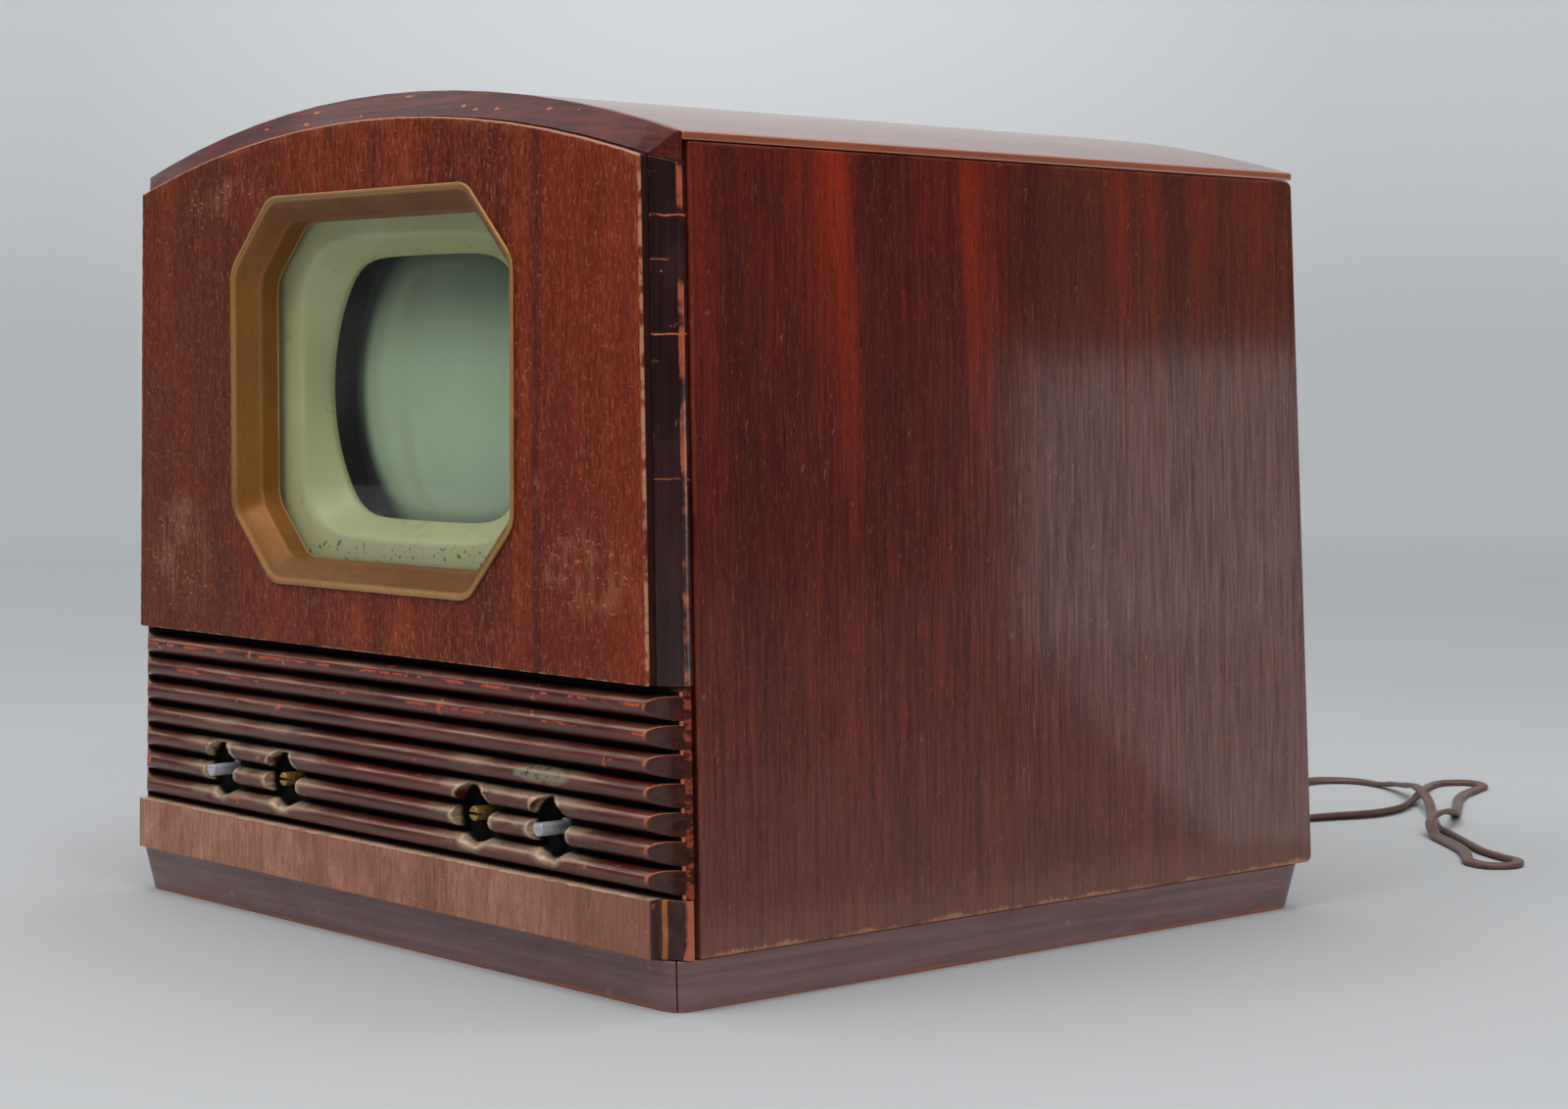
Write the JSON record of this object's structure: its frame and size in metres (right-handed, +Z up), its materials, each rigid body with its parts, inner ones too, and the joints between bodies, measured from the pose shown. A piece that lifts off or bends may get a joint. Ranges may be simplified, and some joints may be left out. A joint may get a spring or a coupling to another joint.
{
  "type": "table television set",
  "caption": "Table television in a veneered wooden cabinet with an arched top, octagonal screen bezel, reeded control strip, bare control spindles and a flat mains lead.",
  "frame": {"origin": "centre of the set's own bounding box, at its base, without the mains lead", "axes": "+Z up, the screen faces -Y, +X is the viewer's right when looking at the screen"},
  "size_m": [0.4046, 0.7971, 0.3631],
  "materials": {
    "side_veneer": "dark red-brown ribbon-striped veneer under worn gloss lacquer",
    "front_veneer": "red-brown veneer, vertical grain, satin lacquer",
    "bevel_wood": "near-black maroon stained hardwood, worn to orange at its edges",
    "plinth_wood": "dark plum-brown stained hardwood",
    "raw_wood": "unfinished plywood and softwood",
    "bezel_bronze": "satin bronze paint with lighter worn edges",
    "window_glass": "clear flat pane",
    "mask_plastic": "pale green moulded plastic",
    "tube_glass": "grey glass, modelled as a solid envelope",
    "phenolic": "dark brown moulded phenolic",
    "steel": "cadmium-plated sheet steel",
    "bright_steel": "bright drawn steel rod",
    "brass": "dull turned brass",
    "aluminium": "drawn aluminium can",
    "paper_cone": "black pressed paper",
    "grille_cloth": "dark woven cloth",
    "fibreboard": "brown pressed fibreboard",
    "cord_rubber": "brown twin-flex rubber"
  },
  "bodies": {
    "root": {"side_panel_left": "side_veneer", "side_panel_right": "side_veneer", "top_panel": "side_veneer", "bottom_board": "raw_wood", "front_panel": "front_veneer", "front_post_left": "bevel_wood", "front_post_right": "bevel_wood", "front_arch_rail": "bevel_wood", "reed_grille": "bevel_wood", "front_lower_rail": "front_veneer", "plinth_front": "plinth_wood", "plinth_left": "plinth_wood", "plinth_right": "plinth_wood", "plinth_back": "plinth_wood", "back_batten_left": "raw_wood", "back_batten_right": "raw_wood", "bezel": "bezel_bronze", "safety_glass": "window_glass", "picture_mask": "mask_plastic", "picture_tube": "tube_glass", "tube_base": "phenolic", "tube_socket": "phenolic", "tube_strap": "steel", "tube_cradle": "raw_wood", "neck_support": "steel", "chassis_pan": "steel", "power_transformer": "steel", "high_voltage_cage": "steel", "tuner_box": "steel", "valve_1": "tube_glass", "valve_2": "tube_glass", "valve_3": "tube_glass", "valve_4": "tube_glass", "valve_5": "tube_glass", "filter_can_1": "aluminium", "filter_can_2": "aluminium", "speaker_frame": "steel", "speaker_cone": "paper_cone", "speaker_magnet": "steel", "volume_control": "steel", "contrast_control": "steel", "brightness_control": "steel", "channel_switch": "steel", "grille_cloth": "grille_cloth", "speaker_baffle": "raw_wood", "back_cover": "fibreboard", "neck_cup": "phenolic", "antenna_strip": "phenolic", "back_screw_1": "steel", "back_screw_2": "steel", "back_screw_3": "steel", "back_screw_4": "steel", "cord_gland": "cord_rubber", "cord_tube": "cord_rubber", "cord_coil": "cord_rubber", "cord_plug": "phenolic"},
    "volume_spindle": {"volume_shaft": "bright_steel"},
    "contrast_spindle": {"contrast_shaft": "brass"},
    "brightness_spindle": {"brightness_shaft": "brass"},
    "channel_spindle": {"channel_shaft": "bright_steel"}
  },
  "joints": [
    {"name": "volume_turn", "type": "hinge", "parent": "root", "child": "volume_spindle", "pos_m": [0.123, -0.1847, 0.0645], "axis": [0, 1, 0], "range_deg": [0, 300]},
    {"name": "contrast_turn", "type": "hinge", "parent": "root", "child": "contrast_spindle", "pos_m": [0.0717, -0.1847, 0.0645], "axis": [0, 1, 0], "range_deg": [0, 290]},
    {"name": "brightness_turn", "type": "hinge", "parent": "root", "child": "brightness_spindle", "pos_m": [-0.0717, -0.1847, 0.0645], "axis": [0, 1, 0], "range_deg": [0, 290]},
    {"name": "channel_turn", "type": "hinge", "parent": "root", "child": "channel_spindle", "pos_m": [-0.123, -0.1847, 0.0645], "axis": [0, 1, 0], "continuous": true}
  ]
}
